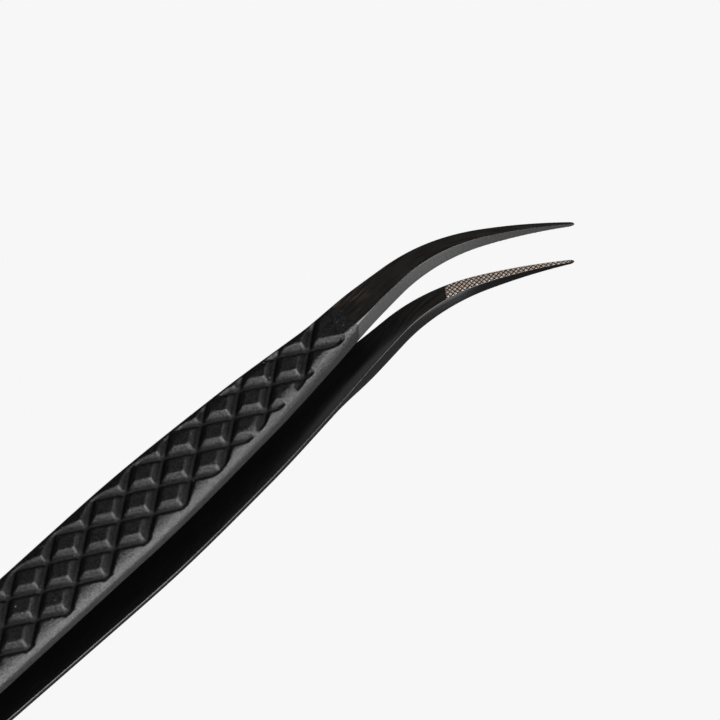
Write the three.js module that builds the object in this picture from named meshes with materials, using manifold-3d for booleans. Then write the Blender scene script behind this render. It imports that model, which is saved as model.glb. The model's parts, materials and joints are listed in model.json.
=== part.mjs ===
// Curved needle-point tweezers: two sprung steel legs welded face to face at the tail.
// Millimetres. They lie on their long edges: +X runs to the points, +Y is the pinch direction,
// and the points curve upwards, towards +Z. The right leg is the mirror image of the left one.
import * as THREE from 'three';
import { mergeVertices } from 'three/addons/utils/BufferGeometryUtils.js';
import Module from 'manifold-3d';

// Distances along a leg are measured backwards from the point, on the leg's centre line.
const LENGTH = 140;
const WELD_LENGTH = 10;
const FRONT_BEND = { angle: THREE.MathUtils.degToRad(30), radius: 23.5 };
const POINT_BEND = { angle: THREE.MathUtils.degToRad(10), radius: 63 };

// Leg sections: distance from the point, width, thickness, half the gap between the legs, and
// how much of the thickness is taken by the rounding of the outer long edges.
const SECTIONS = [
  { at: 0, width: 0.3, thick: 0.35, half: 3.4, round: 0.12 },
  { at: 10, width: 1.2, thick: 1.55, half: 3.5, round: 0.12 },
  { at: 20, width: 2.5, thick: 2.45, half: 3.58, round: 0.12 },
  { at: 28, width: 3.7, thick: 2.8, half: 3.65, round: 0.15 },
  { at: 36, width: 5.6, thick: 2.7, half: 3.6, round: 0.5 },
  { at: 48, width: 8.0, thick: 2.55, half: 3.6, round: 0.5 },
  { at: 68, width: 9.9, thick: 2.4, half: 3.35, round: 0.5 },
  { at: 76, width: 9.9, thick: 2.4, half: 3.15, round: 0.5 },
  { at: 104, width: 9.9, thick: 2.4, half: 2.25, round: 0.5 },
  { at: 118, width: 8.5, thick: 1.95, half: 1.4, round: 0.3 },
  { at: 130, width: 6.6, thick: 1.5, half: 0.15, round: 0.15 },
  { at: 140, width: 6.0, thick: 1.5, half: 0.15, round: 0.15 },
];
const EDGE_SLANT = 0.8; // the rounding's width, as a share of the half width, for each unit of round

// The diamond grip: two families of grooves at equal angles to the leg. They cross a little below
// its centre line, and run out through its long edges.
const FIRST_CROSSING = 37.1;
const CROSSINGS = 12;
const CELL_LENGTH = 6.1;
const CELL_WIDTH = 4.2;
const GROOVE_TOP = 1.65;
const GROOVE_FLOOR = 0.48;
const GROOVE_DEPTH = 0.78;
const GROOVE_DROP = 0.1; // how far below the centre line the grooves cross
const GROOVE_ABOVE = 0.4; // how far a groove's cutter stands above the face
const GROOVE_OVERRUN = 2; // how much longer it is than the groove

// The bare, cross-hatched zone of each jaw's inner face.
const JAW_FRONT = 0.8;
const JAW_REAR = 16;
const JAW_WIDTH_SHARE = 0.92;
const JAW_THICK = 0.1;

const CLEARANCE = 0.03; // between pieces that touch
const FLEX_GAP = 0.12; // between a leg and its tang, where the leg flexes
const WELD_INSET = 0.3; // the weld metal stops short of the tail's edges

const LEG_FACETS = 36; // along a leg, shorter towards the point
const LEG_CROWDING = 1.4;
const CORNER_FACETS = 2;
const GROOVE_FACETS = 3;
const JAW_FACETS = 12;
const TAIL_FACETS = 8;
const MERGE_DISTANCE = 1e-5;

const WELD_FRONT = LENGTH - WELD_LENGTH;
const GROOVE_ANGLE = Math.atan2(CELL_WIDTH, CELL_LENGTH);

const wasm = await Module();
wasm.setup();

// A smooth curve through the sections that never overshoots them (monotone cubic).
function section(key, at) {
  const last = SECTIONS.length - 2;
  const i = THREE.MathUtils.clamp(SECTIONS.findLastIndex((s) => s.at <= at), 0, last);
  const slope = (j) => (SECTIONS[j + 1][key] - SECTIONS[j][key]) / (SECTIONS[j + 1].at - SECTIONS[j].at);
  const tangent = (j) => {
    if (j === 0) return slope(0);
    if (j > last) return slope(last);
    const product = slope(j - 1) * slope(j);
    return product <= 0 ? 0 : (2 * product) / (slope(j - 1) + slope(j));
  };
  const span = SECTIONS[i + 1].at - SECTIONS[i].at;
  const t = THREE.MathUtils.clamp((at - SECTIONS[i].at) / span, 0, 1);
  const t2 = t * t;
  const t3 = t2 * t;
  return (2 * t3 - 3 * t2 + 1) * SECTIONS[i][key] + (t3 - 2 * t2 + t) * span * tangent(i)
    + (3 * t2 - 2 * t3) * SECTIONS[i + 1][key] + (t3 - t2) * span * tangent(i + 1);
}

// The centre line, seen from the side: straight, then the front bend, then the gentler point bend.
// Returns the place and the climb angle at a distance from the point; the handle lies on z = 0.
function centreLine(at) {
  const bendLength = FRONT_BEND.angle * FRONT_BEND.radius;
  const run = POINT_BEND.angle * POINT_BEND.radius + bendLength - at;
  if (run <= 0) return { x: run, z: 0, climb: 0 };
  if (run <= bendLength) {
    const turn = run / FRONT_BEND.radius;
    return { x: FRONT_BEND.radius * Math.sin(turn), z: FRONT_BEND.radius * (1 - Math.cos(turn)), climb: turn };
  }
  const start = FRONT_BEND.angle;
  const turn = start + (run - bendLength) / POINT_BEND.radius;
  return {
    x: FRONT_BEND.radius * Math.sin(start) + POINT_BEND.radius * (Math.sin(turn) - Math.sin(start)),
    z: FRONT_BEND.radius * (1 - Math.cos(start)) + POINT_BEND.radius * (Math.cos(start) - Math.cos(turn)),
    climb: turn,
  };
}

// A place in the left leg: distance from the point, sideways below the centre line, and
// outwards from the plane between the legs.
function legPlace(at, below, outwards) {
  const centre = centreLine(at);
  return new THREE.Vector3(
    centre.x + below * Math.sin(centre.climb),
    outwards,
    centre.z - below * Math.cos(centre.climb),
  );
}

// Extrudes a flat outline in many steps, then moves every vertex with place(u, v, share of length).
function warpedExtrusion(outline, steps, place) {
  const geometry = new THREE.ExtrudeGeometry(outline, {
    depth: 1, steps, bevelEnabled: false, curveSegments: CORNER_FACETS,
  });
  const position = geometry.attributes.position;
  for (let i = 0; i < position.count; i++) {
    const moved = place(position.getX(i), position.getY(i), position.getZ(i));
    position.setXYZ(i, moved.x, moved.y, moved.z);
  }
  return geometry;
}

function solid(geometry) {
  geometry.deleteAttribute('normal');
  geometry.deleteAttribute('uv');
  const merged = mergeVertices(geometry, MERGE_DISTANCE);
  return new wasm.Manifold(new wasm.Mesh({
    numProp: 3,
    vertProperties: merged.attributes.position.array,
    triVerts: new Uint32Array(merged.index.array),
  }));
}

function geometryOf(manifold) {
  const mesh = manifold.getMesh();
  const geometry = new THREE.BufferGeometry();
  geometry.setAttribute('position', new THREE.BufferAttribute(mesh.vertProperties, 3));
  geometry.setIndex(new THREE.BufferAttribute(mesh.triVerts, 1));
  geometry.computeVertexNormals();
  return geometry;
}

// A leg's section, one unit to each side and one unit thick. Its outer edges are rounded over
// half of each unit; legBlank squeezes that half to the round's real size.
function legSection() {
  const outline = new THREE.Shape();
  outline.moveTo(-1, 0);
  outline.lineTo(1, 0);
  outline.lineTo(1, 0.5);
  outline.quadraticCurveTo(1, 1, 0.5, 1);
  outline.lineTo(-0.5, 1);
  outline.quadraticCurveTo(-1, 1, -1, 0.5);
  outline.closePath();
  return outline;
}

// Moves a value between 0 and 1 so that its upper half takes only the given share.
function squeezeUpperHalf(value, share) {
  return value < 0.5 ? value * 2 * (1 - share) : 1 - (1 - value) * 2 * share;
}

// The plain leg, from the weld's front to the point.
function legBlank() {
  const length = WELD_FRONT - FLEX_GAP;
  return warpedExtrusion(legSection(), LEG_FACETS, (u, v, share) => {
    const at = length * (1 - share) ** LEG_CROWDING;
    const round = section('round', at);
    const across = Math.sign(u) * squeezeUpperHalf(Math.abs(u), round * EDGE_SLANT);
    const outwards = section('half', at) + squeezeUpperHalf(v, round) * section('thick', at);
    return legPlace(at, across * section('width', at) / 2, outwards);
  });
}

// One groove of the grip. It follows the leg's outer face across the whole width.
function groove(crossing, lean) {
  const flare = (GROOVE_TOP - GROOVE_FLOOR) / 2 / GROOVE_DEPTH;
  const topHalf = GROOVE_TOP / 2 + flare * GROOVE_ABOVE;
  const outline = new THREE.Shape();
  outline.moveTo(-GROOVE_FLOOR / 2, -GROOVE_DEPTH);
  outline.lineTo(GROOVE_FLOOR / 2, -GROOVE_DEPTH);
  outline.lineTo(topHalf, GROOVE_ABOVE);
  outline.lineTo(-topHalf, GROOVE_ABOVE);
  outline.closePath();
  const reach = section('width', crossing) / Math.sin(GROOVE_ANGLE) + GROOVE_OVERRUN;
  return warpedExtrusion(outline, GROOVE_FACETS, (across, height, share) => {
    const along = (share - 0.5) * reach;
    const at = crossing - along * Math.cos(GROOVE_ANGLE) + lean * across * Math.sin(GROOVE_ANGLE);
    const slant = lean * along * Math.sin(GROOVE_ANGLE) + across * Math.cos(GROOVE_ANGLE);
    const below = slant + GROOVE_DROP;
    return legPlace(at, below, section('half', at) + section('thick', at) + height);
  });
}

function gripGrooves() {
  const grooves = [];
  for (let i = 0; i < CROSSINGS; i++) {
    const crossing = FIRST_CROSSING + i * CELL_LENGTH;
    grooves.push(solid(groove(crossing, 1)), solid(groove(crossing, -1)));
  }
  return wasm.Manifold.union(grooves);
}

// A slab along the jaw's inner face: so far inside the leg's steel and so far out of it.
function jawSlab(front, rear, extraWidth, inside, outside) {
  const outline = new THREE.Shape();
  outline.moveTo(-1, 0);
  outline.lineTo(1, 0);
  outline.lineTo(1, 1);
  outline.lineTo(-1, 1);
  outline.closePath();
  return warpedExtrusion(outline, JAW_FACETS, (u, v, share) => {
    const at = rear + (front - rear) * share;
    const halfWidth = JAW_WIDTH_SHARE * section('width', at) / 2 + extraWidth;
    return legPlace(at, u * halfWidth, section('half', at) - outside + v * (inside + outside));
  });
}

function jawTexture() {
  return jawSlab(JAW_FRONT, JAW_REAR, 0, JAW_THICK, 0);
}

function jawPocket() {
  const outside = 0.5;
  return jawSlab(JAW_FRONT - CLEARANCE, JAW_REAR + CLEARANCE, CLEARANCE, JAW_THICK + CLEARANCE, outside);
}

function leg() {
  return geometryOf(solid(legBlank()).subtract(gripGrooves()).subtract(solid(jawPocket())));
}

// The flat, parallel tail, with a round end: between two distances out from the middle plane.
function tailPlate(inset, from, to) {
  const front = centreLine(WELD_FRONT).x - inset;
  const frontHalf = section('width', WELD_FRONT) / 2 - inset;
  const rearHalf = section('width', LENGTH) / 2 - inset;
  const rear = centreLine(LENGTH).x + section('width', LENGTH) / 2;
  const outline = new THREE.Shape();
  outline.moveTo(front, frontHalf);
  outline.lineTo(rear, rearHalf);
  outline.absarc(rear, 0, rearHalf, Math.PI / 2, 3 * Math.PI / 2, false);
  outline.lineTo(front, -frontHalf);
  outline.closePath();
  const geometry = new THREE.ExtrudeGeometry(outline, {
    depth: to - from, bevelEnabled: false, curveSegments: TAIL_FACETS,
  });
  geometry.rotateX(-Math.PI / 2);
  geometry.translate(0, from, 0);
  return geometry;
}

function tang() {
  const inner = section('half', LENGTH);
  return tailPlate(0, inner, inner + section('thick', LENGTH));
}

// The weld metal that joins the two tangs, just inside their edges.
function tailWeld() {
  const inner = section('half', LENGTH) - CLEARANCE;
  return tailPlate(WELD_INSET, -inner, inner);
}

// The same piece on the right leg: mirrored in y = 0, with its faces turned to point outwards again.
function mirrored(geometry) {
  const copy = geometry.clone();
  copy.scale(1, -1, 1);
  if (!copy.index) copy.setIndex([...Array(copy.attributes.position.count).keys()]);
  const corners = copy.index.array;
  for (let i = 0; i < corners.length; i += 3) {
    [corners[i], corners[i + 1]] = [corners[i + 1], corners[i]];
  }
  copy.computeVertexNormals();
  return copy;
}

const blackCoating = () => new THREE.MeshStandardMaterial({ color: 0x141414, roughness: 0.45, metalness: 0.3 });
const bareSteel = () => new THREE.MeshStandardMaterial({ color: 0x9c9388, roughness: 0.5, metalness: 0.9 });

function named(name, geometry, material) {
  const mesh = new THREE.Mesh(geometry, material);
  mesh.name = name;
  return mesh;
}

const tweezers = new THREE.Group();
const leftPieces = [
  ['leg', leg(), blackCoating],
  ['tang', tang(), blackCoating],
  ['jaw_texture', jawTexture(), bareSteel],
];
for (const [name, geometry, material] of leftPieces) {
  tweezers.add(named(`left_${name}`, geometry, material()));
  tweezers.add(named(`right_${name}`, mirrored(geometry), material()));
}
tweezers.add(named('tail_weld', tailWeld(), blackCoating()));

// The origin is under the middle of the tweezers, at the height of the surface that they lie on.
const extent = new THREE.Box3().setFromObject(tweezers);
const middle = extent.getCenter(new THREE.Vector3());
tweezers.position.set(-middle.x, -middle.y, -extent.min.z);

export default tweezers;
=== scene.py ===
"""Looks for the curved needle-point tweezers: both legs, their jaws, the weld, the floor, the lights
and the camera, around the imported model. Lengths are in metres; MM turns millimetres into metres.
The tweezers lie on their long edges: +X runs to the points, +Y is the pinch direction, +Z is up."""
import json
import math

import bpy
import numpy as np
from mathutils import Matrix, Vector


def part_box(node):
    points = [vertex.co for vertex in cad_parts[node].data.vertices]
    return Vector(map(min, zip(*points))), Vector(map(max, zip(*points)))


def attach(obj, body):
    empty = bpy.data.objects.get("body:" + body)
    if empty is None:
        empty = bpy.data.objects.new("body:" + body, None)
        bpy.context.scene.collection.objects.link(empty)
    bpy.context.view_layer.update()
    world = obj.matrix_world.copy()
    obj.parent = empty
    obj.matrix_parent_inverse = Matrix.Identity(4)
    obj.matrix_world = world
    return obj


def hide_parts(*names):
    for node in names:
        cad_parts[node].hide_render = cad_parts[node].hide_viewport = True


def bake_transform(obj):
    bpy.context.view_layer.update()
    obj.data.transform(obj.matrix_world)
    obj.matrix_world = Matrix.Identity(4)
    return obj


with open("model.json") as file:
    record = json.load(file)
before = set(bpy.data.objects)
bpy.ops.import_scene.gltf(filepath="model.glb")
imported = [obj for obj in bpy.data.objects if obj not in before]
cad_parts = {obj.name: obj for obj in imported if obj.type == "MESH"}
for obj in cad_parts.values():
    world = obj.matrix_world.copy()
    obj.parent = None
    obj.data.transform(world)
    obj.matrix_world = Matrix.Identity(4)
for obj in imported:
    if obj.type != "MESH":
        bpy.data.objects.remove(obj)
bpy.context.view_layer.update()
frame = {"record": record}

MM = 0.001

# ---------------------------------------------------------------- places taken from the frame

JOINTS = {joint["name"]: joint for joint in frame["record"]["behaviour"]["joints"]}
AXIS_Z = JOINTS["left_leg_flex"]["pos_m"][2]  # height of the handle's centre line
POINT_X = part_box("left_leg")[1].x

# ---------------------------------------------------------------- the leg's driving dimensions, mm

FRONT_BEND = (math.radians(30), 23.5)  # angle and radius of the bend in front of the grip
POINT_BEND = (math.radians(10), 63.0)  # angle and radius of the gentler bend up to the point
POINT_RADIUS = 0.5

# distance from the point, width, thickness, half the gap between the legs, share of the
# thickness that the rounding of the outer long edges takes, how far the inner face falls
# away at its long edges
SECTIONS = np.array([
    (0, 0.3, 0.35, 3.4, 0.06, 0.01),
    (10, 1.2, 1.55, 3.5, 0.06, 0.03),
    (20, 2.5, 2.45, 3.58, 0.06, 0.16),
    (28, 3.7, 2.8, 3.65, 0.08, 0.42),
    (36, 5.6, 2.7, 3.6, 0.5, 0.55),
    (48, 8.0, 2.55, 3.6, 0.5, 0.5),
    (68, 9.9, 2.4, 3.35, 0.5, 0.5),
    (76, 9.9, 2.4, 3.15, 0.5, 0.5),
    (104, 9.9, 2.4, 2.25, 0.5, 0.4),
    (118, 8.5, 1.95, 1.4, 0.3, 0.2),
    (130, 6.6, 1.5, 0.15, 0.15, 0.0),
    (140, 6.0, 1.5, 0.15, 0.15, 0.0),
])
LENGTH = SECTIONS[-1, 0]
TAIL_RADIUS = SECTIONS[-1, 1] / 2
EDGE_SLANT = 0.85  # the rounding's width, as a share of the half width, for each unit of round
EDGE_FULLNESS = 0.5  # 0 would make the rounding a flat bevel, 1 a full corner
INNER_EDGE = 0.1  # radius of the inner long edges, where the leg is big enough
INNER_EDGE_THICK_SHARE = 0.2  # its largest share of the thickness
INNER_EDGE_WIDTH_SHARE = 0.25  # and of the half width
INNER_FALL = {1: 0.0, -1: 1.0}  # share of the inner face's fall on the left and the right leg
WALL_DRAFT = 0.03  # how far a side wall leans in, in a leg as thick as DRAFT_THICK
DRAFT_THICK = 2.2
DRAFT_WIDTH_SHARE = 0.06  # the draft's largest share of the half width

# the diamond grip
GRIP_FRONT = 31.0  # where the powder-coated grip meets the satin front
GRIP_REAR = 113.0
FIRST_CROSSING = 37.1
GROOVE_DROP = 0.1  # how far below the centre line the grooves cross
CROSSINGS = 12
CELL_LENGTH = 6.1
CELL_WIDTH = 4.2
GROOVE_TOP = 1.65
GROOVE_FLOOR = 0.48
GROOVE_DEPTH = 0.78
GROOVE_SOFTNESS = 0.07  # radius of the coated edges of a groove
RIDGE_SOFTNESS = 0.32  # radius of the ridges where two grooves' flanks meet
EDGE_FADE = 0.9  # over how much of the width, next to a long edge, the grooves get shallower
EDGE_DEPTH = 0.35  # share of their depth that they keep at the edge
MILLED_ABOVE = 0.3  # the grooves only cut the leg above this share of its thickness
MILL_SOFTNESS = 0.03
GROOVE_ANGLE = math.atan2(CELL_WIDTH, CELL_LENGTH)

# the cross-hatched jaw face
HATCH_FRONT = 0.45
HATCH_REAR = 16.0
HATCH_PITCH = 0.417
HATCH_DEPTH = 0.035
HATCH_PROUD = 0.03
HATCH_TURN = FRONT_BEND[0] + POINT_BEND[0]  # the hatch is cut diagonally to the point's direction
HATCH_WIDTH_SHARE = 0.93
HATCH_STEP = 0.055  # between the points of its mesh, along the leg
HATCH_ACROSS = 41  # points across it
HATCH_FLOOR = 0.3  # below this share of a land's height the line's floor is flat
HATCH_FLANK = 0.45  # share of the height that the flanks take above the floor
HATCH_SUNK = 0.03  # how far the slab reaches into the leg below its lines
HATCH_SEED = {1: 3.7, -1: 9.1}  # for the lands that glint on the left and the right leg


def monotone(column, at):
    """The sections' column at distances from the point: a cubic curve that never overshoots them."""
    x, y = SECTIONS[:, 0], SECTIONS[:, column]
    slope = np.diff(y) / np.diff(x)
    tangent = np.concatenate([slope[:1], np.zeros(len(x) - 2), slope[-1:]])
    product = slope[:-1] * slope[1:]
    total = np.where(product > 0, slope[:-1] + slope[1:], 1.0)
    tangent[1:-1] = np.where(product > 0, 2 * product / total, 0.0)
    i = np.clip(np.searchsorted(x, at, side="right") - 1, 0, len(x) - 2)
    span = x[i + 1] - x[i]
    t = np.clip((at - x[i]) / span, 0, 1)
    return ((2 * t**3 - 3 * t**2 + 1) * y[i] + (t**3 - 2 * t**2 + t) * span * tangent[i]
            + (3 * t**2 - 2 * t**3) * y[i + 1] + (t**3 - t**2) * span * tangent[i + 1])


def centre_line(at):
    """x, z (mm, from the start of the front bend) and climb angle at distances from the point."""
    bend_angle, bend_radius = FRONT_BEND
    point_angle, point_radius = POINT_BEND
    bend_length = bend_angle * bend_radius
    run = point_angle * point_radius + bend_length - at
    turn = np.where(run < bend_length, run / bend_radius, bend_angle + (run - bend_length) / point_radius)
    turn = np.maximum(turn, 0)
    first = np.minimum(turn, bend_angle)
    x = np.minimum(run, 0) + bend_radius * np.sin(first) + point_radius * (np.sin(turn) - np.sin(first))
    z = bend_radius * (1 - np.cos(first)) + point_radius * (np.cos(first) - np.cos(turn))
    return x, z, turn


POINT_CENTRE_X = float(centre_line(np.array([0.0]))[0][0])
HALF_POINT = SECTIONS[0, 1] / 2 * math.sin(FRONT_BEND[0] + POINT_BEND[0])
BEND_START_X = POINT_X - (POINT_CENTRE_X + HALF_POINT) * MM


def leg_place(at, up, out, side):
    """Row-frame points of the left (side 1) or right (side -1) leg: distance from the point,
    upwards from the centre line, and outwards from the plane between the legs."""
    x, z, climb = centre_line(at)
    return np.stack([
        BEND_START_X + (x - up * np.sin(climb)) * MM,
        side * out * MM,
        AXIS_Z + (z + up * np.cos(climb)) * MM,
    ], axis=-1)


def smooth_min(a, b, softness):
    """The smaller of two heights, with the corner between them rounded."""
    mix = np.clip(0.5 + 0.5 * (b - a) / softness, 0, 1)
    return b + (a - b) * mix - softness * mix * (1 - mix)


def grip_surface(at, up):
    """Height of the grip's milled face above its plateaus (so 0 or less) at places on the leg,
    and how far across a groove's floor each place is (0 in the middle, 1 at the flanks' feet)."""
    spacing = CELL_LENGTH * math.sin(GROOVE_ANGLE)
    height = np.full(np.broadcast(at, up).shape, 1.0)
    off_centre = np.full(height.shape, 9.0)
    for lean in (-1, 1):
        rise = up + GROOVE_DROP
        across = (at - FIRST_CROSSING) * math.sin(GROOVE_ANGLE) + lean * rise * math.cos(GROOVE_ANGLE)
        nearest = np.clip(np.round(across / spacing), 0, CROSSINGS - 1)
        distance = np.abs(across - nearest * spacing)
        flank = (distance - GROOVE_FLOOR / 2) / ((GROOVE_TOP - GROOVE_FLOOR) / 2)
        floor_side = -smooth_min(-flank, np.zeros_like(flank), 2 * GROOVE_SOFTNESS)
        groove = GROOVE_DEPTH * (floor_side - 1)
        height = smooth_min(height, groove, RIDGE_SOFTNESS)
        off_centre = np.minimum(off_centre, distance / (GROOVE_FLOOR / 2))
    return smooth_min(height, np.zeros_like(height), 2 * GROOVE_SOFTNESS), off_centre


# ---------------------------------------------------------------- mesh helpers


def build_mesh(name, vertices, faces, materials, uvs=None, masks=None):
    """A smooth-shaded mesh object, with its uvs and vertex masks if it has them."""
    mesh = bpy.data.meshes.new(name)
    mesh.from_pydata([tuple(v) for v in vertices], [], faces)
    mesh.validate()
    mesh.update()
    mesh.polygons.foreach_set("use_smooth", [True] * len(mesh.polygons))
    if uvs is not None:
        layer = mesh.uv_layers.new(name="along_leg")
        corner = np.zeros(len(mesh.loops), np.int32)
        mesh.loops.foreach_get("vertex_index", corner)
        layer.data.foreach_set("uv", uvs[corner].astype(np.float32).ravel())
    for mask, values in (masks or {}).items():
        attribute = mesh.attributes.new(mask, "FLOAT", "POINT")
        attribute.data.foreach_set("value", values.astype(np.float32))
    for material in materials:
        mesh.materials.append(material)
    piece = bpy.data.objects.new(name, mesh)
    bpy.context.scene.collection.objects.link(piece)
    return piece


def tube_faces(rings, ring_size, flip):
    """Faces of a tube of rings with a flat cap at each end."""
    i, j = np.meshgrid(np.arange(rings - 1), np.arange(ring_size), indexing="ij")
    following = (j + 1) % ring_size
    quads = np.stack([
        i * ring_size + j,
        i * ring_size + following,
        (i + 1) * ring_size + following,
        (i + 1) * ring_size + j,
    ], axis=-1).reshape(-1, 4)
    caps = [list(range(ring_size))[::-1], list(range((rings - 1) * ring_size, rings * ring_size))]
    faces = [list(q) for q in quads.tolist()] + caps
    return [face[::-1] for face in faces] if flip else faces


# ---------------------------------------------------------------- materials


def new_material(name):
    material = bpy.data.materials.new(name)
    material.use_nodes = True
    material.node_tree.nodes.clear()
    return material


def node(material, kind, inputs=None, **settings):
    """A node with its settings; inputs are values, or sockets to link from."""
    tree = material.node_tree
    made = tree.nodes.new(kind)
    for key, value in settings.items():
        setattr(made, key, value)
    for key, value in (inputs or {}).items():
        if isinstance(value, bpy.types.NodeSocket):
            tree.links.new(value, made.inputs[key])
        else:
            made.inputs[key].default_value = value
    return made


def math_node(material, operation, first, second=0.0):
    return node(material, "ShaderNodeMath", {0: first, 1: second}, operation=operation).outputs[0]


def mask_of(material, name):
    return node(material, "ShaderNodeAttribute", attribute_name=name).outputs["Fac"]


def mix_value(material, factor, low, high):
    return node(material, "ShaderNodeMix", {0: factor, 2: low, 3: high}, data_type="FLOAT").outputs[0]


def mix_colour(material, factor, low, high):
    return node(material, "ShaderNodeMix", {0: factor, 6: low, 7: high}, data_type="RGBA").outputs[2]


def noise(material, vector, scale, detail=2.0, roughness=0.5):
    return node(material, "ShaderNodeTexNoise", {
        "Vector": vector, "Scale": scale, "Detail": detail, "Roughness": roughness,
    }).outputs["Fac"]


def ramp(material, value, low, high):
    """0 below low, 1 above high, straight in between."""
    return node(material, "ShaderNodeMapRange", {
        "Value": value, "From Min": low, "From Max": high, "To Min": 0.0, "To Max": 1.0,
    }, clamp=True).outputs[0]


def grey(value, alpha=1.0):
    return (value, value, value, alpha)


def black_coating():
    """The legs: powder-grained grip with painted light on its grooves' floors and painted shade at their
    flanks' feet, satin front, a lighter grainy copy of the coat painted on the left leg's front walls and
    a darker glossy copy painted on the right leg's walls, glossy inner faces.
    """
    m = new_material("black_coating")
    place = node(m, "ShaderNodeTexCoord").outputs["Object"]
    uv = node(m, "ShaderNodeUVMap", uv_map="along_leg").outputs["UV"]
    stretched = node(m, "ShaderNodeMapping", {"Vector": uv, "Scale": (0.07, 1.0, 1.0)}).outputs[0]
    grain_mask = mask_of(m, "grain")
    gloss_mask = mask_of(m, "gloss")
    # the left leg's front walls, painted as a lighter grainy copy of the coat: painted light
    lit_grainy_wall_mask = mask_of(m, "lit_grainy_wall")
    # the right leg's walls, painted as a darker glossy copy of the coat: painted shade
    shaded_wall_mask = mask_of(m, "shaded_wall")
    bare_mask = math_node(m, "SUBTRACT", 1.0, math_node(m, "MAXIMUM", grain_mask, lit_grainy_wall_mask))

    powder = noise(m, place, 4300.0, 3.0, 0.7)
    patches = noise(m, place, 420.0, 2.0, 0.5)
    brushed = noise(m, stretched, 3.6, 3.0, 0.6)
    # painted shade at the feet of the grooves' flanks
    foot_shade_mask = mask_of(m, "foot")

    grip = mix_colour(m, ramp(m, powder, 0.4, 0.62), grey(0.001), (0.007, 0.0068, 0.007, 1))
    # painted light: the middles of the grooves' floors are painted lighter
    grip = mix_colour(m, math_node(m, "MULTIPLY", mask_of(m, "floor"), 0.4), grip, grey(0.03))
    # painted shade: the feet of the grooves' flanks are painted near black
    grip = mix_colour(m, foot_shade_mask, grip, grey(0.001))
    satin_dark, satin_light = (0.0026, 0.0023, 0.0022, 1), (0.0105, 0.0094, 0.0086, 1)
    satin = mix_colour(m, ramp(m, brushed, 0.3, 0.7), satin_dark, satin_light)
    streaks = math_node(m, "MULTIPLY", ramp(m, patches, 0.45, 0.75), ramp(m, brushed, 0.4, 0.7))
    tint = math_node(m, "MULTIPLY", mask_of(m, "tint"), streaks)
    satin = mix_colour(m, tint, satin, (0.06, 0.04, 0.026, 1))
    # painted light: the left leg's front walls are a lighter copy of the coat, over its real powder grain
    lit_grainy_wall = mix_colour(m, ramp(m, powder, 0.3, 0.7), grey(0.017), grey(0.04))
    colour = mix_colour(m, lit_grainy_wall_mask, satin, lit_grainy_wall)
    colour = mix_colour(m, grain_mask, colour, grip)
    gloss_and_shaded_wall_mask = math_node(m, "MAXIMUM", gloss_mask, shaded_wall_mask)
    # the glossy inner faces are near black; the right leg's walls get the same near black as painted shade
    colour = mix_colour(m, gloss_and_shaded_wall_mask, colour, (0.001, 0.001, 0.0013, 1))
    speck = ramp(m, noise(m, place, 2600.0, 1.0, 0.5), 0.78, 0.81)
    colour = mix_colour(m, math_node(m, "MULTIPLY", grain_mask, speck), colour, grey(0.2))

    rough = mix_value(m, ramp(m, brushed, 0.3, 0.7), 0.28, 0.38)
    rough = mix_value(m, lit_grainy_wall_mask, rough, 0.5)
    rough = mix_value(m, grain_mask, rough, mix_value(m, powder, 0.34, 0.46))
    rough = mix_value(m, shaded_wall_mask, rough, 0.24)
    rough = mix_value(m, gloss_mask, rough, mix_value(m, ramp(m, brushed, 0.3, 0.7), 0.2, 0.27))

    grainy = math_node(m, "MAXIMUM", grain_mask, math_node(m, "MULTIPLY", lit_grainy_wall_mask, 0.5))
    smooth = math_node(m, "SUBTRACT", 1.0, math_node(m, "MULTIPLY", shaded_wall_mask, 0.97))
    grains = math_node(m, "MULTIPLY", math_node(m, "MULTIPLY", powder, grainy), smooth)
    lines = math_node(m, "MULTIPLY", brushed, math_node(m, "MULTIPLY", bare_mask, 0.04))
    bump = node(m, "ShaderNodeBump", {
        "Height": math_node(m, "ADD", grains, lines), "Strength": 0.9, "Distance": 0.00008,
    }).outputs[0]

    # painted shade: the right leg's walls also reflect less
    shine = mix_value(m, shaded_wall_mask, 0.5, 0.36)
    shine = mix_value(m, grain_mask, shine, mix_value(m, ramp(m, powder, 0.34, 0.64), 0.26, 0.54))
    shader = node(m, "ShaderNodeBsdfPrincipled", {
        "Base Color": colour, "Roughness": rough, "Metallic": 0.0, "IOR": 1.6, "Normal": bump,
        # painted shade: the feet of the grooves' flanks also reflect less
        "Specular IOR Level": mix_value(m, foot_shade_mask, shine, 0.12),
    })
    node(m, "ShaderNodeOutputMaterial", {"Surface": shader.outputs[0]})
    return m


def jaw_steel():
    """Bare, cross-hatched steel: warm grey lands, dark hatch lines, a glint here and there."""
    m = new_material("jaw_steel")
    place = node(m, "ShaderNodeTexCoord").outputs["Object"]
    land = mask_of(m, "land")
    glint = mask_of(m, "glint")
    fine = noise(m, place, 9000.0, 2.0, 0.6)
    warm = mix_colour(m, fine, (0.31, 0.248, 0.208, 1), (0.46, 0.378, 0.322, 1))
    bright = mix_colour(m, glint, warm, (0.50, 0.45, 0.41, 1))
    colour = mix_colour(m, ramp(m, land, 0.3, 0.85), (0.085, 0.062, 0.05, 1), bright)
    bump = node(m, "ShaderNodeBump", {"Height": fine, "Strength": 0.4, "Distance": 0.00001}).outputs[0]
    shader = node(m, "ShaderNodeBsdfPrincipled", {
        "Base Color": colour,
        "Metallic": math_node(m, "MULTIPLY", ramp(m, land, 0.42, 0.72), 0.35),
        "Roughness": mix_value(m, fine, 0.42, 0.6),
        "Normal": bump,
    })
    node(m, "ShaderNodeOutputMaterial", {"Surface": shader.outputs[0]})
    return m


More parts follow.
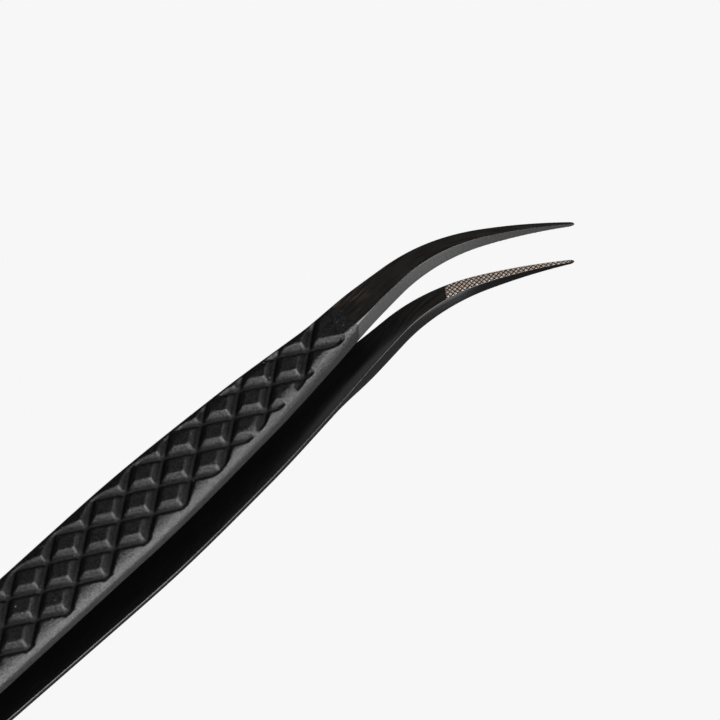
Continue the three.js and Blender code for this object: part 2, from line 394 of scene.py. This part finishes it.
def weld_seam():
    """The coated weld bead at the tail."""
    m = new_material("weld_seam")
    place = node(m, "ShaderNodeTexCoord").outputs["Object"]
    fine = noise(m, place, 4200.0, 3.0, 0.6)
    coarse = noise(m, place, 1100.0, 2.0, 0.5)
    bump = node(m, "ShaderNodeBump", {"Height": fine, "Strength": 0.6, "Distance": 0.00003}).outputs[0]
    shader = node(m, "ShaderNodeBsdfPrincipled", {
        "Base Color": mix_colour(m, coarse, grey(0.02), grey(0.045)),
        "Roughness": mix_value(m, fine, 0.32, 0.5),
        "Normal": bump,
    })
    node(m, "ShaderNodeOutputMaterial", {"Surface": shader.outputs[0]})
    return m


# ---------------------------------------------------------------- the legs

# points of a leg's section: its inner face, then the rounding, wall and shoulder of each long
# edge, and its outer face
INNER_POINTS = 16
EDGE_POINTS = 3
WALL_POINTS = 4
CORNER_POINTS = 16
OUTER_POINTS = 44
SIDE_POINTS = EDGE_POINTS + WALL_POINTS + CORNER_POINTS

POINT_RINGS = 6
POINT_FIRST_TURN = 0.25  # radians round the point's end where its first ring lies
POINT_GAP = 0.2  # from the last of these rings to the next one
TAIL_RINGS = 26
TAIL_LAST_TURN = math.radians(88)
FRONT_STEP = 0.3
GRIP_STEP = 0.15
REAR_STEP = 0.6

# where the finishes start, in distances from the point, and over what length they come in
GLOSS_START, GLOSS_RAMP = 17, 12
GRAIN_RAMP = 0.3
TINT_START, TINT_RAMP = GRIP_FRONT - 7, 6

# the grooves' painted light on their floors' middles and painted shade at their flanks' feet,
# in half widths of a groove's floor from its middle
FLOOR_LIGHT_REACH = 1.1
FOOT_SHADE_CENTRE = 1.15
FOOT_SHADE_REACH = 0.75
SUNK_GAIN = 1.5  # a groove counts as fully sunk at 1 / SUNK_GAIN of its depth


def leg_stations():
    """Distances from the point of a leg's rings, close together where the grip is milled."""
    point_turn = np.linspace(POINT_FIRST_TURN, math.pi / 2, POINT_RINGS)
    point_end = POINT_RADIUS * (1 - np.cos(point_turn))
    front = np.arange(POINT_RADIUS + POINT_GAP, GRIP_FRONT, FRONT_STEP)
    grip = np.arange(GRIP_FRONT, GRIP_REAR, GRIP_STEP)
    rear = np.arange(GRIP_REAR, LENGTH - TAIL_RADIUS, REAR_STEP)
    tail_end = LENGTH - TAIL_RADIUS + TAIL_RADIUS * np.sin(np.linspace(0, TAIL_LAST_TURN, TAIL_RINGS))
    return np.concatenate([point_end, front, grip, rear, tail_end])


def leg_section(at, side):
    """Half width, thickness, half the gap, rounding and the inner face's fall at one station. The
    tail's end is round in its width, and the point's end is round both ways."""
    width, thick, half, rounding, fall = (float(monotone(c, np.array([at]))[0]) for c in range(1, 6))
    half_width = width / 2
    past_tail = at - (LENGTH - TAIL_RADIUS)
    if past_tail > 0:
        half_width = math.sqrt(max(TAIL_RADIUS**2 - past_tail**2, 0))
    if at < POINT_RADIUS:
        shrink = math.sqrt(max(1 - ((POINT_RADIUS - at) / POINT_RADIUS) ** 2, 0))
        half += thick * (1 - shrink) / 2
        half_width *= shrink
        thick *= shrink
    return half_width, thick, half, rounding, fall * INNER_FALL[side]


def shoulder(half_width, thick, rounding, draft):
    """The rounding of an outer long edge, from the wall's top to the outer face: a quadratic curve."""
    width = rounding * EDGE_SLANT * half_width
    height = rounding * thick
    foot, top = half_width - draft, half_width - draft - width
    pull_up = foot - width * (1 - EDGE_FULLNESS) / 2
    pull_out = thick - height * (1 - EDGE_FULLNESS) / 2
    t = np.linspace(0, 1, CORNER_POINTS + 1)[1:]
    up = (1 - t) ** 2 * foot + 2 * t * (1 - t) * pull_up + t**2 * top
    out = (1 - t) ** 2 * (thick - height) + 2 * t * (1 - t) * pull_out + t**2 * thick
    return up, out, top


def blank_outline(half_width, thick, rounding, fall):
    """A section's outline before milling: heights above the centre line, distances from the inner
    face's middle. It runs up the inner face, over the upper edge, down the outer face and back."""
    edge = min(INNER_EDGE, INNER_EDGE_THICK_SHARE * thick, INNER_EDGE_WIDTH_SHARE * half_width)
    draft = min(WALL_DRAFT * thick / DRAFT_THICK, DRAFT_WIDTH_SHARE * half_width)
    inner_up = np.linspace(-(half_width - edge), half_width - edge, INNER_POINTS)
    inner_out = fall * (inner_up / half_width) ** 2
    turn = np.linspace(0, math.pi / 2, EDGE_POINTS + 2)[1:-1]
    edge_up = half_width - edge + edge * np.sin(turn)
    edge_out = inner_out[-1] + edge - edge * np.cos(turn)
    wall_up = half_width - draft * np.linspace(0, 1, WALL_POINTS)
    wall_out = np.linspace(inner_out[-1] + edge, thick - rounding * thick, WALL_POINTS)
    corner_up, corner_out, top = shoulder(half_width, thick, rounding, draft)
    outer_up = np.linspace(top, -top, OUTER_POINTS + 1)[1:-1]
    side_up = np.concatenate([edge_up, wall_up, corner_up])
    side_out = np.concatenate([edge_out, wall_out, corner_out])
    up = np.concatenate([inner_up, side_up, outer_up, -side_up[::-1]])
    out = np.concatenate([inner_out, side_out, np.full(len(outer_up), thick), side_out[::-1]])
    return up, out


def distance_around(up, out):
    """Distances round a ring from the middle of its outer face; across the inner face, its heights."""
    around = np.concatenate([[0], np.cumsum(np.hypot(np.diff(up), np.diff(out)))])
    around -= around[INNER_POINTS + SIDE_POINTS + OUTER_POINTS // 2]
    around[:INNER_POINTS] = up[:INNER_POINTS] - up[INNER_POINTS] + around[INNER_POINTS]
    return around


def leg_ring(at, side):
    """One milled section: heights above the centre line, distances out from the middle plane, the
    painted light on its grooves' floors and the painted shade at their flanks' feet, and distances around."""
    half_width, thick, half, rounding, fall = leg_section(at, side)
    up, blank = blank_outline(half_width, thick, rounding, fall)
    height, off_centre = grip_surface(np.full(len(up), at), up)
    run_out = np.clip((half_width - np.abs(up)) / EDGE_FADE, 0, 1)
    milled = thick + height * (EDGE_DEPTH + (1 - EDGE_DEPTH) * run_out)
    out = np.where(blank > thick * MILLED_ABOVE, smooth_min(blank, milled, MILL_SOFTNESS), blank)
    sunk = np.clip((blank - out) / GROOVE_DEPTH * SUNK_GAIN, 0, 1)
    # painted light: lighter in the middle of each groove's floor
    floor = np.clip(FLOOR_LIGHT_REACH - off_centre, 0, 1) * sunk
    # painted shade: darker at the feet of the grooves' flanks
    foot = np.clip(1 - np.abs(off_centre - FOOT_SHADE_CENTRE) / FOOT_SHADE_REACH, 0, 1) * sunk
    return up, out + half, floor, foot, distance_around(up, out)


def finish_masks(at, place, ring_size, side):
    """Where each finish lies, and where the walls get a painted lit and a painted shaded copy of the coat,
    from the distances from the point and the places in the ring.
    """
    inner = (place < INNER_POINTS).astype(float)
    from_edge = np.minimum(place - INNER_POINTS, ring_size - 1 - place)
    wall = (from_edge < EDGE_POINTS + WALL_POINTS).astype(float) * (1 - inner)
    outer = 1 - inner - wall
    grain = np.clip((at - GRIP_FRONT) / GRAIN_RAMP, 0, 1)
    return {
        "gloss": inner * np.clip((at - GLOSS_START) / GLOSS_RAMP, 0, 1),
        "grain": grain * (1 - inner),
        # painted light and shade: the left leg's front walls get a lighter copy of the coat, the right leg's
        # walls a darker, glossier copy
        "lit_grainy_wall": wall * (1 - grain) * (side > 0),
        "shaded_wall": wall * (side < 0),
        "tint": (1 - grain) * outer * np.clip((at - TINT_START) / TINT_RAMP, 0, 1),
    }


def make_leg(name, side, material):
    """A whole leg, from its round tail to its needle point, as one skin."""
    stations = leg_stations()
    points, uvs, floors, feet = [], [], [], []
    for at in stations:
        # floor is the painted light on the grooves' floors, foot the painted shade at their flanks' feet
        up, out, floor, foot, around = leg_ring(at, side)
        ring_at = np.full(len(up), at)
        points.append(leg_place(ring_at, up, out, side))
        uvs.append(np.stack([ring_at, around], axis=-1))
        floors.append(floor)
        feet.append(foot)
    ring_size = len(points[0])
    faces = tube_faces(len(points), ring_size, flip=side < 0)
    place = np.tile(np.arange(ring_size), len(stations))
    masks = finish_masks(np.repeat(stations, ring_size), place, ring_size, side)
    # painted light on the grooves' floors, and painted shade at their flanks' feet
    masks["floor"] = np.concatenate(floors)
    # painted shade at the flanks' feet of the grooves
    masks["foot"] = np.concatenate(feet)
    return build_mesh(name, np.concatenate(points), faces, [material], np.concatenate(uvs), masks)


# ---------------------------------------------------------------- the jaw hatch

def hatch_land(at, up, seed):
    """Height share of the hatch (1 on a land's top, 0 where two lines cross), and each land's glint."""
    x, z, climb = centre_line(at)
    along = x - up * np.sin(climb)
    above = z + up * np.cos(climb)
    land = np.ones(along.shape)
    cells = []
    for turn in (HATCH_TURN - math.pi / 4, HATCH_TURN + math.pi / 4):
        across = (along * math.cos(turn) + above * math.sin(turn)) / HATCH_PITCH
        cells.append(np.round(across))
        land = np.minimum(land, np.abs(np.cos(math.pi * across)))
    # a repeatable scatter between 0 and 1, one value for each land
    scatter = np.sin(cells[0] * 12.9898 + cells[1] * 78.233 + seed) * 43758.5453
    glint = np.clip((scatter - np.floor(scatter) - 0.72) / 0.2, 0, 1)
    return land, glint


def hatch_places(rings):
    """Distances from the point and heights of the hatch's points. Its rear edge is square to the
    point's direction, so it lies across the leg at a slant."""
    reach = np.repeat(np.linspace(0, 1, rings), HATCH_ACROSS)
    share = np.tile(np.linspace(-1, 1, HATCH_ACROSS), rings)
    slant = math.tan(HATCH_TURN - float(centre_line(np.array([HATCH_REAR]))[2][0]))
    rear_half = float(monotone(1, np.array([HATCH_REAR]))[0]) / 2 * HATCH_WIDTH_SHARE
    at = HATCH_FRONT + reach * (HATCH_REAR - rear_half * (1 - share) * slant - HATCH_FRONT)
    return at, share


def slab_faces(rows, columns):
    """Faces of a closed slab: a grid of points, its copy underneath, and the walls between them."""
    count = rows * columns
    i, j = np.meshgrid(np.arange(rows - 1), np.arange(columns - 1), indexing="ij")
    corner = i * columns + j
    top = np.stack([corner, corner + 1, corner + columns + 1, corner + columns], axis=-1).reshape(-1, 4)
    back = top[:, ::-1] + count
    border = [(r * columns, (r + 1) * columns) for r in range(rows - 1)]
    border += [((rows - 1) * columns + c, (rows - 1) * columns + c + 1) for c in range(columns - 1)]
    border += [((r + 2) * columns - 1, (r + 1) * columns - 1) for r in range(rows - 2, -1, -1)]
    border += [(c + 1, c) for c in range(columns - 2, -1, -1)]
    walls = [[a, b, b + count, a + count] for a, b in border]
    return top.tolist() + back.tolist() + walls


def make_hatch(name, side, material):
    """The bare jaw face: a thin slab with its inner face cut into small lands."""
    rings = int((HATCH_REAR - HATCH_FRONT) / HATCH_STEP)
    at, share = hatch_places(rings)
    up = share * monotone(1, at) / 2 * HATCH_WIDTH_SHARE
    land, glint = hatch_land(at, up, HATCH_SEED[side])
    relief = np.clip((land - HATCH_FLOOR) / HATCH_FLANK, 0, 1)
    jaw = monotone(3, at) + INNER_FALL[side] * monotone(5, at) * share**2
    top = leg_place(at, up, jaw - HATCH_PROUD + HATCH_DEPTH * (1 - relief), side)
    sunk = leg_place(at, up, jaw + HATCH_DEPTH + HATCH_SUNK, side)
    faces = slab_faces(rings, HATCH_ACROSS)
    if side > 0:
        faces = [face[::-1] for face in faces]
    blank = np.zeros(len(at))
    masks = {
        "land": np.concatenate([land, blank]),
        "glint": np.concatenate([glint, blank]),
    }
    return build_mesh(name, np.concatenate([top, sunk]), faces, [material], None, masks)


# ---------------------------------------------------------------- the weld bead


WELD_INSET = 0.06  # the bead's line lies inside the tangs' rims
WELD_START = SECTIONS[-2, 0] + 0.2  # where the weld metal starts, behind the front of the tangs
WELD_GAP = 0.3  # from its front corners to the next points of its rim
WELD_STEP = 0.12
WELD_ARC_POINTS = 80
BEAD_POINTS = 10
BEAD_SHARE = 0.92  # the bead's radius, as a share of half the gap between the tangs
BEAD_SUNK = 0.12  # how far the bead's centre lies inside its line
RIPPLE_HEIGHT = 0.03
RIPPLE_TURN = 0.9  # radians of ripple from one point of the rim to the next


def weld_rim():
    """The bead's line round the tail, as distances from the point and heights."""
    front_half = SECTIONS[-2, 1] / 2 - WELD_INSET
    rear_half = TAIL_RADIUS - WELD_INSET
    rear = LENGTH - TAIL_RADIUS
    taper = (front_half - rear_half) / (rear - WELD_START)
    lower = [(s, -front_half + taper * (s - WELD_START))
             for s in np.arange(WELD_START + WELD_GAP, rear, WELD_STEP)]
    arc = [(rear + rear_half * math.sin(a), -rear_half * math.cos(a))
           for a in np.linspace(0, math.pi, WELD_ARC_POINTS)]
    upper = [(s, front_half - taper * (s - WELD_START))
             for s in np.arange(rear, WELD_START + WELD_GAP, -WELD_STEP)]
    return np.array([(WELD_START, -front_half), *lower, *arc, *upper, (WELD_START, front_half)])


def make_weld(name, material):
    """The weld metal between the tangs: a thin plate whose rim is a rippled bead."""
    rim = weld_rim()
    centre = np.array([(SECTIONS[-2, 0] + LENGTH) / 2, 0.0])
    radius = SECTIONS[-1, 3] * BEAD_SHARE
    turn = np.linspace(-math.pi / 2, math.pi / 2, BEAD_POINTS)
    rings = []
    for k, place in enumerate(rim):
        ripple = RIPPLE_HEIGHT * abs(math.sin(k * RIPPLE_TURN))
        inward = (centre - place) / np.linalg.norm(centre - place)
        reach = (radius + ripple) * np.cos(turn) - BEAD_SUNK
        ring_at = place[0] - inward[0] * reach
        ring_up = place[1] - inward[1] * reach
        rings.append(leg_place(ring_at, ring_up, radius * np.sin(turn), 1))
    faces = []
    for k in range(len(rim)):
        here, following = k * BEAD_POINTS, (k + 1) % len(rim) * BEAD_POINTS
        faces += [[here + j, following + j, following + j + 1, here + j + 1] for j in range(BEAD_POINTS - 1)]
    faces.append([k * BEAD_POINTS for k in range(len(rim))][::-1])
    faces.append([k * BEAD_POINTS + BEAD_POINTS - 1 for k in range(len(rim))])
    return build_mesh(name, np.concatenate(rings), faces, [material])


# ---------------------------------------------------------------- floor, lights and camera


def emission_material(name, colour, strength):
    material = new_material(name)
    shader = node(material, "ShaderNodeEmission", {"Color": colour, "Strength": strength})
    node(material, "ShaderNodeOutputMaterial", {"Surface": shader.outputs[0]})
    return material


STAGE_REACH = 6.0
STAGE_DROP = 0.0005  # below the tweezers, so that it never touches them
STAGE_GREY = 0.93


def make_floor():
    """A pale sweep, lit evenly enough to show no shadow, as on a light table."""
    reach = STAGE_REACH
    corners = [(-reach, -reach, 0), (reach, -reach, 0), (reach, reach, 0), (-reach, reach, 0)]
    mesh = bpy.data.meshes.new("floor")
    mesh.from_pydata(corners, [], [(0, 1, 2, 3)])
    mesh.materials.append(emission_material("pale_floor", grey(STAGE_GREY), 1.0))
    floor = bpy.data.objects.new("floor", mesh)
    bpy.context.scene.collection.objects.link(floor)
    floor.location.z = -STAGE_DROP
    floor.visible_glossy = False


def area_light(name, place, target, size, power):
    light = bpy.data.lights.new(name, "AREA")
    light.shape = "RECTANGLE"
    light.size, light.size_y = size
    light.energy = power
    made = bpy.data.objects.new(name, light)
    bpy.context.scene.collection.objects.link(made)
    made.location = place
    made.rotation_mode = "QUATERNION"
    made.rotation_quaternion = (Vector(target) - Vector(place)).to_track_quat("-Z", "Y")
    return made


ABOVE_HORIZON = 0.13
BELOW_HORIZON = 0.02
HORIZON_BLUR = 0.15


def make_lights():
    """Soft boxes round the tweezers, and a dim surround that is darker below the horizon."""
    middle = (0.0, 0.0, 0.005)
    area_light("overhead_softbox", (0.12, 0.30, 0.50), middle, (0.52, 0.55), 7.2)
    area_light("near_softbox", (-0.24, 0.20, 0.50), middle, (0.25, 0.25), 0.35)
    area_light("rear_softbox", (0.18, -0.30, 0.48), middle, (0.35, 0.35), 0.62)
    area_light("front_card", (0.22, 0.49, 0.08), middle, (0.40, 0.22), 0.09)
    world = bpy.data.worlds.new("studio")
    world.use_nodes = True
    tree = world.node_tree
    direction = tree.nodes.new("ShaderNodeTexCoord")
    split = tree.nodes.new("ShaderNodeSeparateXYZ")
    horizon = tree.nodes.new("ShaderNodeMapRange")
    horizon.inputs["From Min"].default_value = -HORIZON_BLUR
    horizon.inputs["From Max"].default_value = HORIZON_BLUR
    horizon.inputs["To Min"].default_value = BELOW_HORIZON
    horizon.inputs["To Max"].default_value = ABOVE_HORIZON
    tree.links.new(direction.outputs["Generated"], split.inputs[0])
    tree.links.new(split.outputs["Z"], horizon.inputs["Value"])
    tree.links.new(horizon.outputs[0], tree.nodes["Background"].inputs["Strength"])
    tree.nodes["Background"].inputs["Color"].default_value = grey(1.0)
    bpy.context.scene.world = world


CAMERA_AZIMUTH = math.radians(207.0)
CAMERA_ELEVATION = math.radians(24.77)
CAMERA_ROLL = math.radians(126.27)
CAMERA_DISTANCE = 0.6
CAMERA_AIM = (-0.0305, 0.0033, 0.0040)  # what it looks at, from the handle's line at the points
CAMERA_LENS = 265.2
SENSOR_WIDTH = 36


def make_camera():
    """The photograph's angle: above the left leg, from the tail's side, rolled so that the handle
    climbs to the right."""
    data = bpy.data.cameras.new("camera")
    data.lens = CAMERA_LENS
    data.sensor_width = SENSOR_WIDTH
    data.clip_start, data.clip_end = 0.05, 20
    camera = bpy.data.objects.new("camera", data)
    bpy.context.scene.collection.objects.link(camera)
    back = Vector((
        math.sin(CAMERA_AZIMUTH) * math.cos(CAMERA_ELEVATION),
        -math.cos(CAMERA_AZIMUTH) * math.cos(CAMERA_ELEVATION),
        math.sin(CAMERA_ELEVATION),
    ))
    aim = Vector((POINT_X, 0, AXIS_Z)) + Vector(CAMERA_AIM)
    camera.location = aim + back * CAMERA_DISTANCE
    camera.rotation_mode = "QUATERNION"
    level = (-back).to_track_quat("-Z", "Y")
    camera.rotation_quaternion = level @ Matrix.Rotation(CAMERA_ROLL, 3, "Z").to_quaternion()
    bpy.context.scene.camera = camera


# ---------------------------------------------------------------- the scene

make_camera()
make_floor()
make_lights()

coating = black_coating()
steel = jaw_steel()

for label, side in (("left", 1), ("right", -1)):
    leg = make_leg(f"{label}_leg_skin", side, coating)
    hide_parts(f"{label}_leg", f"{label}_tang")
    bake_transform(leg)
    hatch = make_hatch(f"{label}_jaw_hatch", side, steel)
    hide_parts(f"{label}_jaw_texture")
    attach(hatch, f"{label}_arm")

weld = make_weld("weld_bead", weld_seam())
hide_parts("tail_weld")
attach(weld, "tail")

bpy.context.scene.view_settings.view_transform = "Standard"
bpy.context.scene.view_settings.look = "None"
